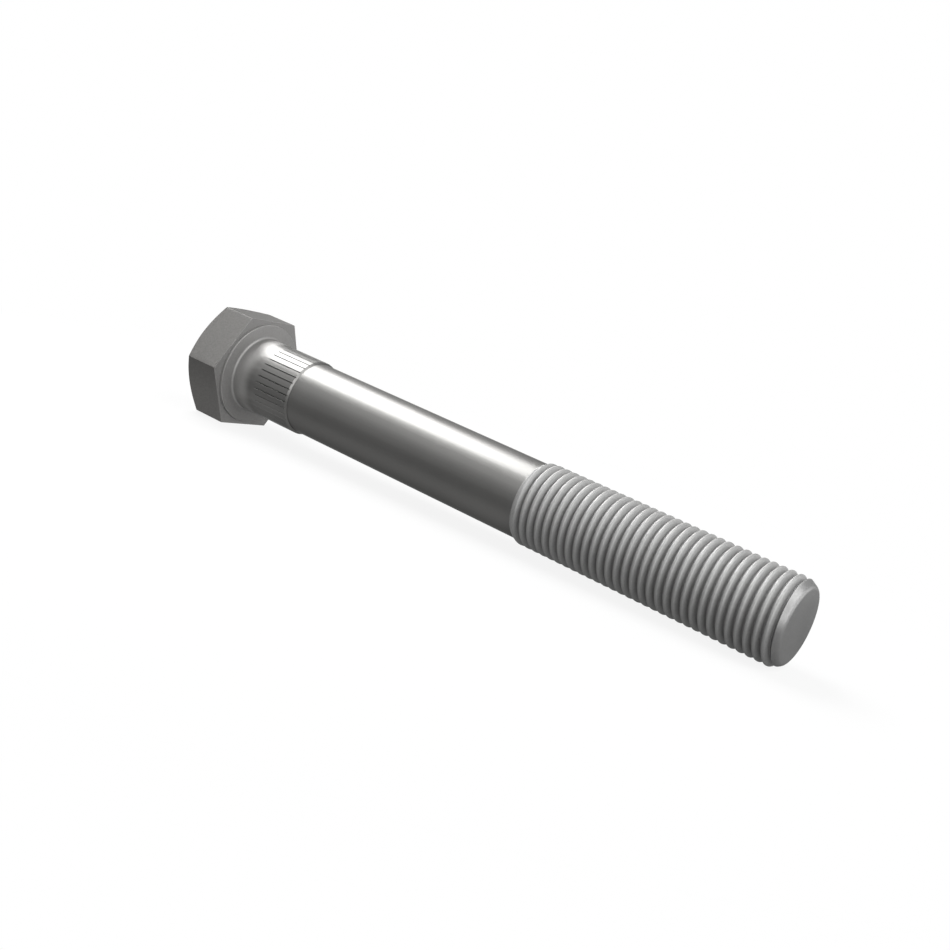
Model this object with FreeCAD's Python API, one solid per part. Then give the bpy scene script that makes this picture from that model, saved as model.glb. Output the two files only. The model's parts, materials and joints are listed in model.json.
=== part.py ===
import FreeCAD, Part
import math
import os

# A one-piece hexagon head bolt with a serrated shoulder under the head, a plain shank
# and a fine thread at the end. All sizes are in millimetres and degrees.
# It is turned and cut along +X, with the hexagon's underside at x = 0 and the head on the
# negative side, and then laid down on one flat of the head and the last turn of the thread.
# The thread's turns aren't cut: its solid ends at the crests.

# Hexagon head
across_flats = 17.0
hexagon_height = 7.0
head_chamfer_d = 15.2
head_chamfer_angle = 30.0

# Round bearing face that stands out of the hexagon's underside
bearing_face_d = 16.0
bearing_face_height = 0.4
bearing_edge_r = 0.12

# Whole length from the bearing face to the end
length = 94.0

# Shoulder under the head, with its serration placed from the bearing face
neck_fillet_r = 0.4
shoulder_d = 11.7
shoulder_length = 11.35
shoulder_step_length = 0.35
serration_start = 4.75
serration_grooves = 36
groove_width = 0.24
groove_depth = 0.14
groove_ramp = 0.3

# Plain shank, as thick as the blank that the thread is rolled on
shank_d = 11.1

# Thread M12 x 1.25, measured from the end to its last full crest, and the rounded end
thread_d = 12.0
thread_pitch = 1.25
thread_length = 39.4
thread_start_length = 0.6
tip_chamfer_angle = 30.0
tip_edge_r = 0.7

# The depth of a metric external thread is this share of its pitch
THREAD_DEPTH_PER_PITCH = 0.6134
# How far cutting bodies reach past the surface that they cut
OVERSHOOT = 0.2

ORIGIN = FreeCAD.Vector(0, 0, 0)
ALONG = FreeCAD.Vector(1, 0, 0)
SIDEWAYS = FreeCAD.Vector(0, 1, 0)

shoulder_end = bearing_face_height + shoulder_length
end_x = bearing_face_height + length
thread_end_r = thread_d / 2 - THREAD_DEPTH_PER_PITCH * thread_pitch
tip_chamfer_length = (thread_d / 2 - thread_end_r) / math.tan(math.radians(tip_chamfer_angle))
last_crest_x = end_x - tip_chamfer_length


def at(x, radius):
    """A point of a turned profile: a place along the axis and a distance from it."""
    return FreeCAD.Vector(x, 0, radius)


def lines(points):
    return [Part.LineSegment(a, b).toShape() for a, b in zip(points, points[1:])]


def arc(centre_x, centre_r, radius, from_deg, to_deg):
    """An arc of a turned profile, its angles counted from the axis direction outwards."""
    spots = []
    for degrees in (from_deg, (from_deg + to_deg) / 2, to_deg):
        turn = math.radians(degrees)
        spots.append(at(centre_x + radius * math.cos(turn), centre_r + radius * math.sin(turn)))
    return Part.Arc(*spots).toShape()


def turned(edges):
    """The solid that a closed profile sweeps about the X axis."""
    profile = Part.Face(Part.Wire(edges))
    return profile.revolve(ORIGIN, ALONG, 360)


def hexagon_head():
    corner_r = across_flats / math.sqrt(3)
    corners = []
    for step in range(7):
        turn = math.radians(60 * step)
        corners.append(FreeCAD.Vector(0, corner_r * math.cos(turn), corner_r * math.sin(turn)))
    prism = Part.Face(Part.makePolygon(corners)).extrude(FreeCAD.Vector(-hexagon_height, 0, 0))

    blank_r = corner_r + OVERSHOOT
    chamfer_r = head_chamfer_d / 2
    chamfer_length = (blank_r - chamfer_r) * math.tan(math.radians(head_chamfer_angle))
    blank = [
        at(OVERSHOOT, 0),
        at(OVERSHOOT, blank_r),
        at(chamfer_length - hexagon_height, blank_r),
        at(-hexagon_height, chamfer_r),
        at(-hexagon_height, 0),
        at(OVERSHOOT, 0),
    ]
    return prism.common(turned(lines(blank)))


def turned_body():
    """Everything below the hexagon, turned as one profile from the bearing face to the end."""
    bearing_r = bearing_face_d / 2
    shoulder_r = shoulder_d / 2
    shank_r = shank_d / 2
    thread_r = thread_d / 2
    crest_start = end_x - thread_length

    bearing = lines([at(0, 0), at(0, bearing_r), at(bearing_face_height - bearing_edge_r, bearing_r)])
    bearing_edge = arc(bearing_face_height - bearing_edge_r, bearing_r - bearing_edge_r, bearing_edge_r, 90, 0)
    face = lines([
        at(bearing_face_height, bearing_r - bearing_edge_r),
        at(bearing_face_height, shoulder_r + neck_fillet_r),
    ])
    neck = arc(bearing_face_height + neck_fillet_r, shoulder_r + neck_fillet_r, neck_fillet_r, 180, 270)

    edge_half_turn = math.radians(90 - tip_chamfer_angle) / 2
    tip_tangent = tip_edge_r * math.tan(edge_half_turn)
    chamfer_turn = math.radians(tip_chamfer_angle)
    shank = lines([
        at(bearing_face_height + neck_fillet_r, shoulder_r),
        at(shoulder_end, shoulder_r),
        at(shoulder_end + shoulder_step_length, shank_r),
        at(crest_start - thread_start_length, shank_r),
        at(crest_start, thread_r),
        at(last_crest_x, thread_r),
        at(end_x - tip_tangent * math.cos(chamfer_turn), thread_end_r + tip_tangent * math.sin(chamfer_turn)),
    ])
    tip_edge = arc(end_x - tip_edge_r, thread_end_r - tip_tangent, tip_edge_r, 90 - tip_chamfer_angle, 0)
    end_face = lines([at(end_x, thread_end_r - tip_tangent), at(end_x, 0), at(0, 0)])
    return turned(bearing + [bearing_edge] + face + [neck] + shank + [tip_edge] + end_face)


def groove_cutter():
    """A V shaped bar, ramped up to the shoulder's surface under the head and open past its step."""
    keel_r = shoulder_d / 2 - groove_depth
    share = (groove_depth + OVERSHOOT) / groove_depth
    start = bearing_face_height + serration_start
    end = shoulder_end + shoulder_step_length
    half = groove_width / 2 * share
    reach = groove_ramp * (share - 1)
    deck_r = keel_r + groove_depth + OVERSHOOT
    keel = [
        FreeCAD.Vector(start + groove_ramp, 0, keel_r),
        FreeCAD.Vector(end, 0, keel_r),
    ]
    deck = [
        FreeCAD.Vector(start - reach, -half, deck_r),
        FreeCAD.Vector(end, -half, deck_r),
        FreeCAD.Vector(end, half, deck_r),
        FreeCAD.Vector(start - reach, half, deck_r),
    ]
    outlines = [
        deck,
        [deck[0], deck[1], keel[1], keel[0]],
        [deck[2], deck[3], keel[0], keel[1]],
        [deck[3], deck[0], keel[0]],
        [deck[1], deck[2], keel[1]],
    ]
    faces = [Part.Face(Part.makePolygon(outline + outline[:1])) for outline in outlines]
    return Part.makeSolid(Part.makeShell(faces))


def serration():
    """The grooves' cutters, with the first one in line with a corner of the hexagon."""
    cutters = []
    for step in range(serration_grooves):
        cutter = groove_cutter()
        cutter.rotate(ORIGIN, ALONG, 90 + 360 * step / serration_grooves)
        cutters.append(cutter)
    return cutters


def laid_down(bolt):
    """The bolt as it comes to rest: on one flat's lower edge and on the thread's last crest."""
    drop = (across_flats - thread_d) / 2
    tilt = math.degrees(math.atan2(drop, last_crest_x))
    bolt.rotate(ORIGIN, SIDEWAYS, tilt)
    box = bolt.optimalBoundingBox(False, False)
    bolt.translate(FreeCAD.Vector(-box.Center.x, -box.Center.y, -box.ZMin))
    return bolt


def make_bolt():
    body = turned_body().cut(serration())
    bolt = hexagon_head().fuse(body).removeSplitter()
    return laid_down(bolt.Solids[0])


os.makedirs("parts", exist_ok=True)
bolt = make_bolt()
bolt.exportStep("parts/bolt.step")
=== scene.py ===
import json
import math
import bmesh
import bpy
from mathutils import Matrix, Vector


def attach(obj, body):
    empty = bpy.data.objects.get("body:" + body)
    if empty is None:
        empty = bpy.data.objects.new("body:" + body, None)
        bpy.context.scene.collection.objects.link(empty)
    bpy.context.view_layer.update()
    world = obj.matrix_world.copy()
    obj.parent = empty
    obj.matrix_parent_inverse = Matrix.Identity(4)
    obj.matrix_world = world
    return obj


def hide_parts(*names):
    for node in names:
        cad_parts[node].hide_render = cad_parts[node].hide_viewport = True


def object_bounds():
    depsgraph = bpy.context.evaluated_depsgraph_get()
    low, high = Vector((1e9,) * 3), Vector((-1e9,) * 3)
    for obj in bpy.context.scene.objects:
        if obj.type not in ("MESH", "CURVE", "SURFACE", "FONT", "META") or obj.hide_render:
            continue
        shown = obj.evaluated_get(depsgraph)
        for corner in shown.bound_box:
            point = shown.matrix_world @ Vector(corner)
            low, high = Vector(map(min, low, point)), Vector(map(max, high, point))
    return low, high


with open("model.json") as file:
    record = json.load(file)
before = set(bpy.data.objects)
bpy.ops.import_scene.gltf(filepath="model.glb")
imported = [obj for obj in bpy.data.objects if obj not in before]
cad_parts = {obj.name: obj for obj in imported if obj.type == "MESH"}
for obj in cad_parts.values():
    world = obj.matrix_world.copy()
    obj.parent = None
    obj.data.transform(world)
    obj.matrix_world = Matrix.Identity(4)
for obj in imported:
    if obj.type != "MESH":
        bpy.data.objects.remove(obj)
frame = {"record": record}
cad_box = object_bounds()

MM = 0.001
mounts = {mount["name"]: mount for mount in frame["record"]["mounts"]}
thread_mount = mounts["thread"]

# The bolt's own frame: x runs from the hexagon's underside to the end, an angle of 0 points at
# a corner of the hexagon, and the angle grows the way a right-hand thread climbs.
AXIS = Vector(thread_mount["axis"])
SIDE = Vector((0, 1, 0))
RISE = AXIS.cross(SIDE)

# Sizes that the thread's mount states
THREAD_R = thread_mount["dims"]["r_mm"] * MM
FULL_THREAD = thread_mount["dims"]["length_mm"] * MM

# Hexagon, with the radius at which its corners are broken
ACROSS_FLATS = 17.0 * MM
HEXAGON_HEIGHT = 7.0 * MM
HEXAGON_CORNER_R = 0.02 * MM
HEAD_CHAMFER_R = 7.6 * MM
HEAD_CHAMFER_ANGLE = math.radians(30)

# Round bearing face
BEARING_R = 8.0 * MM
BEARING_HEIGHT = 0.4 * MM
BEARING_EDGE_R = 0.12 * MM

# Serrated shoulder and plain shank
NECK_FILLET_R = 0.4 * MM
SHOULDER_R = 5.85 * MM
SHOULDER_END = 11.81 * MM
SHOULDER_STEP = 0.24 * MM
SERRATION_START = 5.15 * MM
GROOVES = 36
GROOVE_WIDTH = 0.17 * MM
GROOVE_DEPTH = 0.12 * MM
GROOVE_RAMP = 0.3 * MM
SHANK_R = 5.55 * MM

# Thread. Its depth is a metric external thread's share of the pitch. The phase shifts the helix
# along the bolt, and the head start is the part of a turn by which its cut begins before the
# first crest.
PITCH = 1.25 * MM
THREAD_DEPTH = 0.6134 * PITCH
CREST_ARC_R = 0.22 * PITCH
ROOT_ARC_R = 0.04 * PITCH
FLANK_ANGLE = math.radians(30)
RUN_IN_LENGTH = 0.6 * MM
THREAD_PHASE = 0.02 * MM
CUT_HEAD_START = 0.6

# Rounded end, with the gap between the thread's last ring and the rounding
END_X = 94.4 * MM
TIP_CHAMFER_ANGLE = math.radians(30)
TIP_EDGE_R = 0.7 * MM
TIP_GAP = 0.05 * MM

# Places along the bolt and radii that follow from these
LAST_CREST = END_X - THREAD_DEPTH / math.tan(TIP_CHAMFER_ANGLE)
FIRST_CREST = LAST_CREST - FULL_THREAD
RUN_IN = FIRST_CREST - RUN_IN_LENGTH
CHAMFER_END_R = THREAD_R - THREAD_DEPTH
TIP_TANGENT = TIP_EDGE_R * math.tan((math.pi / 2 - TIP_CHAMFER_ANGLE) / 2)
THREAD_END = END_X - TIP_TANGENT * math.cos(TIP_CHAMFER_ANGLE) - TIP_GAP
ORIGIN = Vector(thread_mount["pos_m"]) - AXIS * (FIRST_CREST + LAST_CREST) / 2

# Fineness of the mesh
COLUMNS_PER_GROOVE = 5
COLUMNS = GROOVES * COLUMNS_PER_GROOVE
CORNER_POINTS = 5
NECK_STEPS = 6
BEARING_EDGE_STEPS = 4
TIP_EDGE_STEPS = 6
SHANK_SPACING = 5 * MM
THREAD_ARC_DEGREES = (-60, -40, -20, 0, 20, 40, 60)
SHARP_ANGLE = math.radians(28)

# A finish is its colour, how metallic and how rough it is, how speckled its tone is and how deep
# its grain is, in metres.
HEAD_STEEL = {
    "colour": (0.113, 0.111, 0.108), "metallic": 1.0, "roughness": 0.4,
    "speck": 0.1, "grain": 8e-6,
}
# Lighter than the head steel: partly a duller bearing finish, partly a painted reflection of the
# bright shank.
BEARING_STEEL_AND_PAINTED_REFLECTION = {
    "colour": (0.147, 0.145, 0.142), "metallic": 0.38, "roughness": 0.55,
    "speck": 0.07, "grain": 4e-6,
}
# Lighter than the shank steel: partly a duller finish, partly painted light that lifts the shade and
# the head's dark reflection next to the head.
NECK_STEEL_AND_PAINTED_LIGHT = {
    "colour": (0.228, 0.225, 0.22), "metallic": 0.5, "roughness": 0.45,
    "speck": 0.03, "grain": 2e-6,
}
SHANK_STEEL = {
    "colour": (0.116, 0.115, 0.112), "metallic": 1.0, "roughness": 0.36,
    "speck": 0.01, "grain": 5e-7,
}
THREAD_STEEL = {
    "colour": (0.255, 0.255, 0.253), "metallic": 1.0, "roughness": 0.64,
    "speck": 0.05, "grain": 3e-6,
}
END_STEEL = {
    "colour": (0.164, 0.164, 0.163), "metallic": 0.75, "roughness": 0.42,
    "speck": 0.05, "grain": 3e-6,
}

# The finishes that follow the head's, each from where it begins to show to where it is whole:
# the hexagon's underside, the wall of the bearing face, the bearing face itself, the neck, the
# shoulder with the shank, the thread, and the end from its chamfer on. The wall's lighter finish
# is painted light in the corner's shade, the neck's is partly painted light next to the head, and
# the bearing finish is partly a painted reflection of the shank.
FINISH_CHANGES = [
    (-0.1 * MM, -0.02 * MM, BEARING_STEEL_AND_PAINTED_REFLECTION),
    # the wall of the bearing face takes the neck's lighter finish: painted light in the corner's
    # shade
    (0.02 * MM, 0.06 * MM, NECK_STEEL_AND_PAINTED_LIGHT),
    (0.34 * MM, 0.39 * MM, BEARING_STEEL_AND_PAINTED_REFLECTION),
    (0.4 * MM, 0.6 * MM, NECK_STEEL_AND_PAINTED_LIGHT),
    (2.4 * MM, 4.4 * MM, SHANK_STEEL),
    (RUN_IN - 0.1 * MM, RUN_IN, THREAD_STEEL),
    (LAST_CREST + 0.1 * MM, LAST_CREST + 0.5 * MM, END_STEEL),
]

# How light steel is where it is seen edge on, the scale and detail of its noises, the noise
# values at which specks are darkest and lightest, and how far colour and roughness vary
EDGE_TINT = 0.42
CLOUD_NOISE = (160, 4)
SPECK_NOISE = (3500, 3)
GRAIN_NOISE = (6000, 3)
SPECK_RANGE = (0.3, 0.7)
PATCHY_RANGE = (0.93, 1.07)

# Floor: its half side, how far below the bolt it lies, the tone of its paper for light and for
# glossy rays, and how white it looks to the camera near the bolt. The darker tone for glossy rays
# is painted shade in the bolt's reflections.
FLOOR_HALF = 1.5
FLOOR_DROP = 0.02 * MM
FLOOR_TONE = 0.44
PAINTED_SHADE_TONE = 0.2
NEAR_WHITE = 0.88

# Changes over the floor. Each goes from one place to another, in metres from the floor's middle,
# and takes a share of plain white from one value to another. The first is toward the distance.
# The others are a glow painted on the strip beneath the bolt that only glossy rays see, painted
# light in the bolt's reflections: across the bolt, at its head and at its thread.
FAR_FLOOR = (0.06, 0.11, 0, 1)
PAINTED_GLOW_ACROSS = (0.006, 0.015, 0.8, 0.14)
PAINTED_GLOW_AT_HEAD = (-0.044, -0.036, 1.8, 1)
PAINTED_GLOW_AT_THREAD = (0.006, 0.012, 1, 0.6)

# Light from the room, and the lamps: name, direction from the bolt, distance, width, height,
# strength and the way the width runs
ROOM_LIGHT = 0.05
SOFTBOXES = [
    ("key_softbox", (-0.26, 0.031, 0.335), 0.425, 0.2, 0.3, 17.5, AXIS),
    ("front_ceiling", (-0.3, -0.36, 0.4), 0.62, 0.3, 0.5, 1.2, AXIS),
    ("back_ceiling", (-0.3, 0.36, 0.4), 0.62, 0.3, 0.5, 1.3, AXIS),
    ("overhead_softbox", (0.3, -0.04, 0.45), 0.5, 0.4, 0.35, 5.4, SIDE),
    ("end_front_softbox", (0.75, -0.5, 0.2), 0.7, 0.7, 0.4, 4.4, SIDE),
    ("end_back_softbox", (0.75, 0.5, 0.25), 0.7, 0.7, 0.4, 2.8, SIDE),
]

# Camera, with its angles in degrees as seen from its target
CAMERA_AZIMUTH = 31.731
CAMERA_ELEVATION = 9.6146
CAMERA_ROLL = -17.454
CAMERA_TARGET = Vector((1.106, -1.314, 7.561)) * MM
CAMERA_DISTANCE = 183.73 * MM


def column_angles():
    """Angles of the mesh's columns: for each groove its bottom, its edge, two places on the land
    and the next groove's edge."""
    tooth = 2 * math.pi / GROOVES
    edge = GROOVE_WIDTH / 2 / SHOULDER_R
    land = (tooth - 2 * edge) / 3
    angles = []
    for groove in range(GROOVES):
        for offset in (0, edge, edge + land, edge + 2 * land, edge + 3 * land):
            angles.append(groove * tooth + offset)
    return angles


ANGLES = column_angles()


def place(x, radius, angle):
    """The point at a place along the bolt, a distance from its axis and an angle around it."""
    across = SIDE * math.cos(angle) + RISE * math.sin(angle)
    return ORIGIN + AXIS * x + across * radius


class Skin:
    """Gathers the vertices and faces of one mesh, ring by ring."""

    def __init__(self):
        self.points = []
        self.faces = []

    def point(self, where):
        self.points.append(where)
        return len(self.points) - 1

    def ring(self, x, radius):
        return [self.point(place(x, radius, angle)) for angle in ANGLES]

    def outline_ring(self, x, outline):
        return [self.point(ORIGIN + AXIS * x + (SIDE * side + RISE * rise)) for side, rise in outline]

    def face(self, corners):
        """A face without the corners that it repeats, if it has more than two left."""
        kept = []
        for corner in corners:
            if corner not in kept:
                kept.append(corner)
        if len(kept) > 2:
            self.faces.append(kept)

    def strip(self, first, second):
        """The faces between two rows of points."""
        for i in range(len(first) - 1):
            self.face([first[i], first[i + 1], second[i + 1], second[i]])

    def bridge(self, rings):
        """The faces between each ring and the next."""
        for first, second in zip(rings, rings[1:]):
            self.strip(first + first[:1], second + second[:1])

    def cap(self, ring, centre):
        hub = self.point(centre)
        for first, second in zip(ring, ring[1:] + ring[:1]):
            self.face([first, second, hub])


def arc_points(centre_x, centre_r, radius, from_deg, to_deg, steps):
    """An arc of a turned profile, its angles counted from the axis direction outwards."""
    spots = []
    for step in range(steps + 1):
        turn = math.radians(from_deg + (to_deg - from_deg) * step / steps)
        spots.append((centre_x + radius * math.cos(turn), centre_r + radius * math.sin(turn)))
    return spots


def hexagon_outline():
    """The hexagon with its corners just broken, as many points as there are columns."""
    centre_r = ACROSS_FLATS / math.sqrt(3) - HEXAGON_CORNER_R / math.cos(math.radians(30))
    arcs = []
    for corner in range(6):
        middle = math.radians(60 * corner)
        arc = []
        for step in range(CORNER_POINTS):
            turn = middle + math.radians(-30 + 60 * step / (CORNER_POINTS - 1))
            side = centre_r * math.cos(middle) + HEXAGON_CORNER_R * math.cos(turn)
            rise = centre_r * math.sin(middle) + HEXAGON_CORNER_R * math.sin(turn)
            arc.append((side, rise))
        arcs.append(arc)
    steps = COLUMNS // 6 - CORNER_POINTS + 1
    outline = []
    for arc, following in zip(arcs, arcs[1:] + arcs[:1]):
        outline += arc
        start, end = arc[-1], following[0]
        for step in range(1, steps):
            share = step / steps
            side = start[0] + (end[0] - start[0]) * share
            rise = start[1] + (end[1] - start[1]) * share
            outline.append((side, rise))
    # the first column is a corner's middle
    return outline[CORNER_POINTS // 2:] + outline[:CORNER_POINTS // 2]


def add_bearing_and_neck(skin):
    """From the serration's start back to the foot of the bearing face, as rings in that order."""
    neck_x = BEARING_HEIGHT + NECK_FILLET_R
    neck_r = SHOULDER_R + NECK_FILLET_R
    edge_x = BEARING_HEIGHT - BEARING_EDGE_R
    edge_r = BEARING_R - BEARING_EDGE_R
    profile = [(SERRATION_START, SHOULDER_R)]
    profile.append((neck_x + (SERRATION_START - neck_x) / 2, SHOULDER_R))
    profile += arc_points(neck_x, neck_r, NECK_FILLET_R, 270, 180, NECK_STEPS)
    profile += arc_points(edge_x, edge_r, BEARING_EDGE_R, 0, 90, BEARING_EDGE_STEPS)
    profile.append((0, BEARING_R))
    rings = [skin.ring(x, radius) for x, radius in profile]
    skin.bridge(rings)
    return rings[0], rings[-1]


def add_head(skin, bearing_foot):
    """The hexagon from its underside over the chamfered wall to the middle of its top."""
    outline = hexagon_outline()
    underside = skin.outline_ring(0, outline)
    slope = math.tan(HEAD_CHAMFER_ANGLE)
    wall = []
    for side, rise in outline:
        x = -HEXAGON_HEIGHT + (math.hypot(side, rise) - HEAD_CHAMFER_R) * slope
        wall.append(skin.point(ORIGIN + AXIS * x + SIDE * side + RISE * rise))
    top_centre = ORIGIN - AXIS * HEXAGON_HEIGHT
    top = []
    for side, rise in outline:
        share = HEAD_CHAMFER_R / math.hypot(side, rise)
        top.append(skin.point(top_centre + (SIDE * side + RISE * rise) * share))
    skin.bridge([bearing_foot, underside, wall, top])
    skin.cap(top, top_centre)


def serrated_ring(skin, x):
    """A ring of the shoulder where the grooves have their full depth."""
    ring = []
    for column, angle in enumerate(ANGLES):
        cut = GROOVE_DEPTH if column % COLUMNS_PER_GROOVE == 0 else 0
        ring.append(skin.point(place(x, SHOULDER_R - cut, angle)))
    return ring


def bridge_ramp(skin, plain, cut):
    """Joins a whole ring to a grooved one, with the grooves' ends as flat triangles."""
    for i in range(COLUMNS):
        j = (i + 1) % COLUMNS
        if i % COLUMNS_PER_GROOVE == 0:
            skin.face([plain[i], plain[j], cut[i]])
            skin.face([plain[j], cut[j], cut[i]])
        elif j % COLUMNS_PER_GROOVE == 0:
            skin.face([plain[i], plain[j], cut[j]])
            skin.face([plain[i], cut[j], cut[i]])
        else:
            skin.face([plain[i], plain[j], cut[j], cut[i]])


def add_serration(skin, start_ring):
    """The grooves rise to the surface under the head and run out over the shoulder's step."""
    first = serrated_ring(skin, SERRATION_START + GROOVE_RAMP)
    last = serrated_ring(skin, SHOULDER_END)
    run_out = SHOULDER_END + SHOULDER_STEP * GROOVE_DEPTH / (SHOULDER_R - SHANK_R)
    end_ring = skin.ring(run_out, SHOULDER_R - GROOVE_DEPTH)
    bridge_ramp(skin, start_ring, first)
    skin.bridge([first, last, end_ring])
    return end_ring


def envelope(x):
    """Radius of the turned body at x, from the shank to the end chamfer."""
    if x < RUN_IN:
        return SHANK_R
    if x < FIRST_CREST:
        return SHANK_R + (THREAD_R - SHANK_R) * (x - RUN_IN) / RUN_IN_LENGTH
    if x < LAST_CREST:
        return THREAD_R
    return CHAMFER_END_R + (END_X - x) * math.tan(TIP_CHAMFER_ANGLE)


def add_shank(skin, start_ring):
    """From the serration's end to the thread's run-in."""
    stops = [SHOULDER_END + SHOULDER_STEP, SHOULDER_END + 3 * SHOULDER_STEP]
    x = stops[-1] + SHANK_SPACING
    while x < RUN_IN - SHANK_SPACING / 2:
        stops.append(x)
        x += SHANK_SPACING
    stops.append(RUN_IN)
    rings = [start_ring] + [skin.ring(x, envelope(x)) for x in stops]
    skin.bridge(rings)
    return rings[-1]


def thread_rows():
    """Places in one turn, as shares of the pitch, with the depth below the crest there.

    They lie on an arc over the crest and on one in the root. The flanks touch both.
    """
    deepest = math.cos(FLANK_ANGLE) * PITCH - CREST_ARC_R - ROOT_ARC_R
    rows = []
    for middle, depth, arc_r, bend in ((0, 0, CREST_ARC_R, 1), (0.5, deepest, ROOT_ARC_R, -1)):
        for degrees in THREAD_ARC_DEGREES:
            turn = math.radians(degrees)
            share = middle + arc_r * math.sin(turn) / PITCH
            rows.append((share, depth + bend * arc_r * (1 - math.cos(turn))))
    return rows


def thread_cut(x):
    """How much of its depth the thread has at x, as it runs out toward the shank."""
    share = (x - FIRST_CREST) / PITCH + CUT_HEAD_START
    return min(1.0, max(0.0, share))


def add_thread(skin, start_ring):
    """Helical rows between the run-in and a ring on the end chamfer.

    Where they would pass one of the rings they are held at it. Known fault: the last row doesn't
    reach the end ring over an eighth of a turn, so a narrow slit is left there. One more turn of
    rows closes it.
    """
    end_ring = skin.ring(THREAD_END, envelope(THREAD_END))
    profile = thread_rows()
    helix_start = RUN_IN - PITCH + THREAD_PHASE
    rows = []
    for turn in range(int((THREAD_END - RUN_IN) / PITCH) + 2):
        for share, depth in profile:
            row = []
            for column, angle in enumerate(ANGLES):
                x = helix_start + PITCH * (turn + share + angle / (2 * math.pi))
                if x <= RUN_IN:
                    row.append(start_ring[column])
                elif x >= THREAD_END:
                    row.append(end_ring[column])
                else:
                    radius = min(envelope(x), THREAD_R - depth * thread_cut(x))
                    row.append(skin.point(place(x, radius, angle)))
            rows.append(row)
    # a row ends where the row one turn on begins
    turn_on = [row[0] for row in rows[len(profile):]] + [end_ring[0]] * len(profile)
    for row, last in zip(rows, turn_on):
        row.append(last)
    for first, second in zip(rows, rows[1:]):
        skin.strip(first, second)
    return end_ring


def add_tip(skin, chamfer_ring):
    """The rounded edge and the end face, which has a ring halfway in."""
    centre_r = CHAMFER_END_R - TIP_TANGENT
    from_deg = 90 - math.degrees(TIP_CHAMFER_ANGLE)
    profile = arc_points(END_X - TIP_EDGE_R, centre_r, TIP_EDGE_R, from_deg, 0, TIP_EDGE_STEPS)
    profile.append((END_X, centre_r / 2))
    rings = [chamfer_ring] + [skin.ring(x, radius) for x, radius in profile]
    skin.bridge(rings)
    skin.cap(rings[-1], ORIGIN + AXIS * END_X)


def add_object(name, data):
    made = bpy.data.objects.new(name, data)
    bpy.context.scene.collection.objects.link(made)
    return made


def add_bolt():
    skin = Skin()
    serration_start, bearing_foot = add_bearing_and_neck(skin)
    add_head(skin, bearing_foot)
    serration_end = add_serration(skin, serration_start)
    run_in_ring = add_shank(skin, serration_end)
    chamfer_ring = add_thread(skin, run_in_ring)
    add_tip(skin, chamfer_ring)

    mesh = bpy.data.meshes.new("bolt_steel")
    mesh.from_pydata([tuple(point) for point in skin.points], [], skin.faces)
    mesh.update()
    return add_object("bolt_steel", mesh)


def shade(mesh):
    """Turns the faces outward and shades them smooth, with the angular edges kept sharp."""
    for polygon in mesh.polygons:
        polygon.use_smooth = True
    work = bmesh.new()
    work.from_mesh(mesh)
    bmesh.ops.recalc_face_normals(work, faces=work.faces)
    work.to_mesh(mesh)
    work.free()
    mesh.set_sharp_from_angle(angle=SHARP_ANGLE)


def emptied_tree(owner, output_type):
    """The node tree of a material or a world, with only an output in it, and that output."""
    owner.use_nodes = True
    tree = owner.node_tree
    tree.nodes.clear()
    return tree, tree.nodes.new(output_type)


def noise(tree, vector, scale, detail):
    made = tree.nodes.new("ShaderNodeTexNoise")
    made.inputs["Scale"].default_value = scale
    made.inputs["Detail"].default_value = detail
    tree.links.new(vector, made.inputs["Vector"])
    return made.outputs["Fac"]


def ranged(tree, value, low, high, out_low, out_high, smooth=False):
    made = tree.nodes.new("ShaderNodeMapRange")
    made.interpolation_type = "SMOOTHSTEP" if smooth else "LINEAR"
    limits = (("From Min", low), ("From Max", high), ("To Min", out_low), ("To Max", out_high))
    for name, number in limits:
        made.inputs[name].default_value = number
    tree.links.new(value, made.inputs["Value"])
    return made.outputs["Result"]


def maths(tree, operation, first, second):
    made = tree.nodes.new("ShaderNodeMath")
    made.operation = operation
    for slot, value in ((0, first), (1, second)):
        if isinstance(value, (int, float)):
            made.inputs[slot].default_value = value
        else:
            tree.links.new(value, made.inputs[slot])
    return made.outputs[0]


def vector_maths(tree, operation, vector):
    made = tree.nodes.new("ShaderNodeVectorMath")
    made.operation = operation
    tree.links.new(vector, made.inputs[0])
    return made


def blend(tree, factor, first, second):
    made = tree.nodes.new("ShaderNodeMix")
    made.data_type = "RGBA"
    for name, colour in (("A", first), ("B", second)):
        if isinstance(colour, tuple):
            made.inputs[name].default_value = colour + (1,)
        else:
            tree.links.new(colour, made.inputs[name])
    tree.links.new(factor, made.inputs["Factor"])
    return made.outputs["Result"]


def mix_shaders(tree, factor, first, second, output):
    mix = tree.nodes.new("ShaderNodeMixShader")
    tree.links.new(factor, mix.inputs["Fac"])
    tree.links.new(first, mix.inputs[1])
    tree.links.new(second, mix.inputs[2])
    tree.links.new(mix.outputs["Shader"], output.inputs["Surface"])


def place_along(tree, where):
    """Distance along the bolt from the hexagon's underside."""
    shift = vector_maths(tree, "SUBTRACT", where)
    shift.inputs[1].default_value = ORIGIN
    along = vector_maths(tree, "DOT_PRODUCT", shift.outputs[0])
    along.inputs[1].default_value = AXIS
    return along.outputs["Value"]


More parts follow.
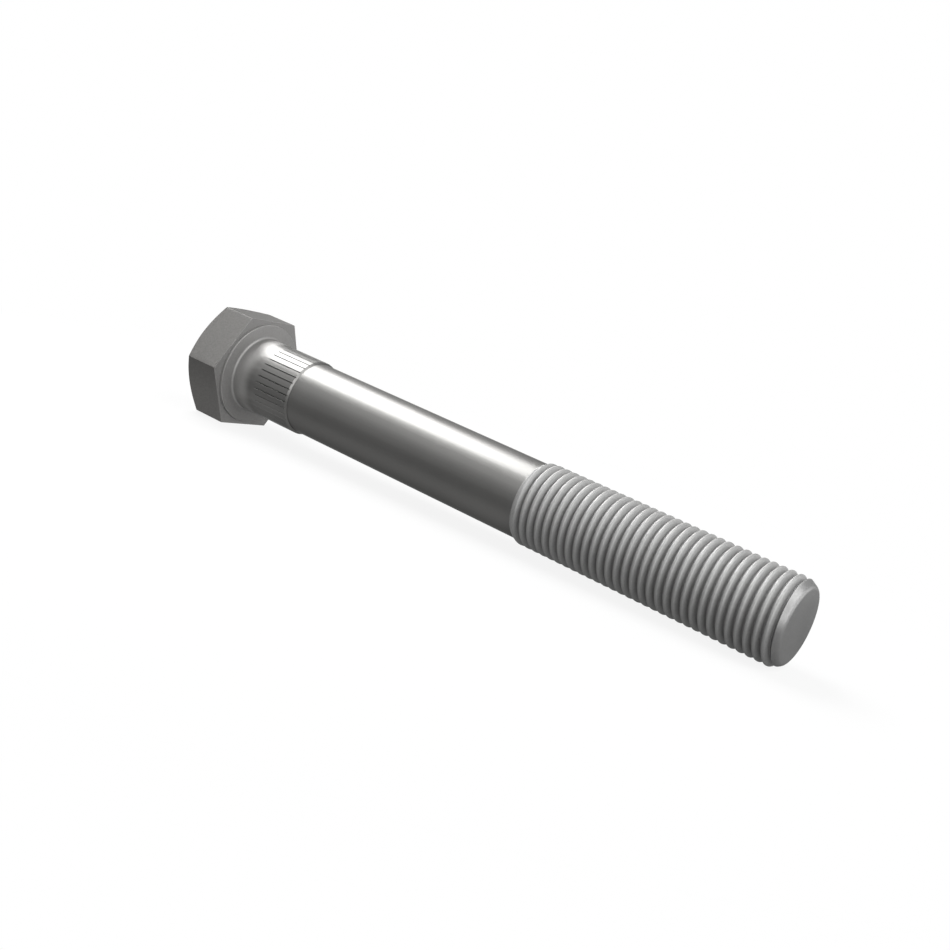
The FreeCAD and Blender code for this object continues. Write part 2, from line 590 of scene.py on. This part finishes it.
def steel(name, first, changes):
    """Steel with a first finish and its changes along the bolt."""
    material = bpy.data.materials.new(name)
    tree, output = emptied_tree(material, "ShaderNodeOutputMaterial")
    shader = tree.nodes.new("ShaderNodeBsdfPrincipled")
    shader.inputs["Specular Tint"].default_value = (EDGE_TINT, EDGE_TINT, EDGE_TINT, 1)
    tree.links.new(shader.outputs["BSDF"], output.inputs["Surface"])
    where = tree.nodes.new("ShaderNodeTexCoord").outputs["Object"]
    along = place_along(tree, where)

    colour = first["colour"]
    numbers = {key: first[key] for key in ("metallic", "roughness", "speck", "grain")}
    previous = first
    for start, whole, finish in changes:
        share = ranged(tree, along, start, whole, 0, 1, smooth=True)
        colour = blend(tree, share, colour, finish["colour"])
        for key in numbers:
            step = maths(tree, "MULTIPLY", share, finish[key] - previous[key])
            numbers[key] = maths(tree, "ADD", numbers[key], step)
        previous = finish

    patchy = ranged(tree, noise(tree, where, *CLOUD_NOISE), 0, 1, *PATCHY_RANGE)
    speck = ranged(tree, noise(tree, where, *SPECK_NOISE), *SPECK_RANGE, -1, 1)
    specked = maths(tree, "ADD", maths(tree, "MULTIPLY", speck, numbers["speck"]), 1)
    shaded = vector_maths(tree, "SCALE", colour)
    tree.links.new(maths(tree, "MULTIPLY", patchy, specked), shaded.inputs["Scale"])
    tree.links.new(shaded.outputs["Vector"], shader.inputs["Base Color"])
    tree.links.new(numbers["metallic"], shader.inputs["Metallic"])
    roughness = maths(tree, "MULTIPLY", numbers["roughness"], patchy)
    tree.links.new(roughness, shader.inputs["Roughness"])

    bump = tree.nodes.new("ShaderNodeBump")
    bump.inputs["Strength"].default_value = 1.0
    tree.links.new(numbers["grain"], bump.inputs["Distance"])
    tree.links.new(noise(tree, where, *GRAIN_NOISE), bump.inputs["Height"])
    tree.links.new(bump.outputs["Normal"], shader.inputs["Normal"])
    return material


def seen_by_eye(tree, at_camera, at_glossy):
    """The share of plain white that camera, glossy and transmission rays see."""
    path = tree.nodes.new("ShaderNodeLightPath")
    camera = maths(tree, "MULTIPLY", path.outputs["Is Camera Ray"], at_camera)
    glossy = maths(tree, "MULTIPLY", path.outputs["Is Glossy Ray"], at_glossy)
    through = maths(tree, "MULTIPLY", path.outputs["Is Transmission Ray"], at_camera)
    return maths(tree, "MAXIMUM", maths(tree, "MAXIMUM", camera, glossy), through)


def painted_reflection_glow(tree, spot):
    """Painted glow on the floor near the bolt, seen only by glossy rays: painted light in the bolt's
    reflections, more of it at the head and less at the thread.
    """
    parts = tree.nodes.new("ShaderNodeSeparateXYZ")
    tree.links.new(spot, parts.inputs[0])
    aside = maths(tree, "ABSOLUTE", parts.outputs["Y"], 0)
    across = ranged(tree, aside, *PAINTED_GLOW_ACROSS, smooth=True)
    at_head = ranged(tree, parts.outputs["X"], *PAINTED_GLOW_AT_HEAD, smooth=True)
    at_thread = ranged(tree, parts.outputs["X"], *PAINTED_GLOW_AT_THREAD, smooth=True)
    return maths(tree, "MULTIPLY", maths(tree, "MULTIPLY", across, at_head), at_thread)


def floor_paper():
    """Paper that takes the bolt's shadow near it and is plain white to the eye further away. Glossy
    rays see a darker paper and a painted glow beneath the bolt: painted shade and light in the bolt's
    reflections.
    """
    material = bpy.data.materials.new("floor_paper")
    tree, output = emptied_tree(material, "ShaderNodeOutputMaterial")
    paper = tree.nodes.new("ShaderNodeBsdfDiffuse")
    glossy = tree.nodes.new("ShaderNodeLightPath").outputs["Is Glossy Ray"]
    # glossy rays see a darker paper: painted shade in the bolt's reflections
    tone = ranged(tree, glossy, 0, 1, FLOOR_TONE, PAINTED_SHADE_TONE)
    tree.links.new(tone, paper.inputs["Color"])
    glow = tree.nodes.new("ShaderNodeEmission")
    glow.inputs["Strength"].default_value = 1.0

    spot = tree.nodes.new("ShaderNodeTexCoord").outputs["Object"]
    reach = vector_maths(tree, "LENGTH", spot).outputs["Value"]
    far = ranged(tree, reach, *FAR_FLOOR, smooth=True)
    far_white = maths(tree, "MULTIPLY", seen_by_eye(tree, 1.0, 1.0), far)
    # glossy rays see the painted glow beneath the bolt: painted light in its reflections
    near_white_and_painted_glow = seen_by_eye(tree, NEAR_WHITE, painted_reflection_glow(tree, spot))
    white = maths(tree, "MAXIMUM", near_white_and_painted_glow, far_white)
    mix_shaders(tree, white, paper.outputs["BSDF"], glow.outputs["Emission"], output)
    return material


def add_floor():
    mesh = bpy.data.meshes.new("floor")
    signs = ((-1, -1), (1, -1), (1, 1), (-1, 1))
    corners = [(side * FLOOR_HALF, depth * FLOOR_HALF, 0) for side, depth in signs]
    mesh.from_pydata(corners, [], [(0, 1, 2, 3)])
    floor = add_object("floor", mesh)
    floor.location.z = cad_box[0].z - FLOOR_DROP
    mesh.materials.append(floor_paper())


def background(tree, strength):
    made = tree.nodes.new("ShaderNodeBackground")
    made.inputs["Color"].default_value = (1, 1, 1, 1)
    made.inputs["Strength"].default_value = strength
    return made.outputs["Background"]


def add_world():
    """A dim room that looks plain white to the eye."""
    world = bpy.data.worlds.new("studio")
    bpy.context.scene.world = world
    tree, output = emptied_tree(world, "ShaderNodeOutputWorld")
    room = background(tree, ROOM_LIGHT)
    paper = background(tree, 1.0)
    mix_shaders(tree, seen_by_eye(tree, 1.0, 1.0), room, paper, output)


def add_softbox(name, direction, distance, width, height, strength, along):
    """A rectangular lamp in the given direction from the bolt, facing it."""
    lamp = bpy.data.lights.new(name, "AREA")
    lamp.shape = "RECTANGLE"
    lamp.size = width
    lamp.size_y = height
    lamp.energy = strength * math.pi * width * height
    back = Vector(direction).normalized()
    x_axis = (along - back * along.dot(back)).normalized()
    y_axis = back.cross(x_axis)
    turn = Matrix((x_axis, y_axis, back)).transposed().to_4x4()
    add_object(name, lamp).matrix_world = Matrix.Translation(back * distance) @ turn


def add_camera():
    camera = bpy.data.cameras.new("camera")
    camera.sensor_width = 36
    camera.lens = 50
    camera.clip_start = 0.005
    camera.clip_end = 20
    azimuth, elevation = math.radians(CAMERA_AZIMUTH), math.radians(CAMERA_ELEVATION)
    back = Vector((
        math.sin(azimuth) * math.cos(elevation),
        -math.cos(azimuth) * math.cos(elevation),
        math.sin(elevation),
    ))
    upright = back.to_track_quat("Z", "Y").to_matrix().to_4x4()
    roll = Matrix.Rotation(math.radians(-CAMERA_ROLL), 4, "Z")
    seat = Matrix.Translation(CAMERA_TARGET + back * CAMERA_DISTANCE)
    holder = add_object("camera", camera)
    holder.matrix_world = seat @ upright @ roll
    bpy.context.scene.camera = holder


piece = add_bolt()
shade(piece.data)
piece.data.materials.append(steel("steel", HEAD_STEEL, FINISH_CHANGES))
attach(piece, "root")
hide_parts("bolt")

add_floor()
add_world()
for softbox in SOFTBOXES:
    add_softbox(*softbox)
add_camera()
bpy.context.scene.view_settings.view_transform = "Standard"
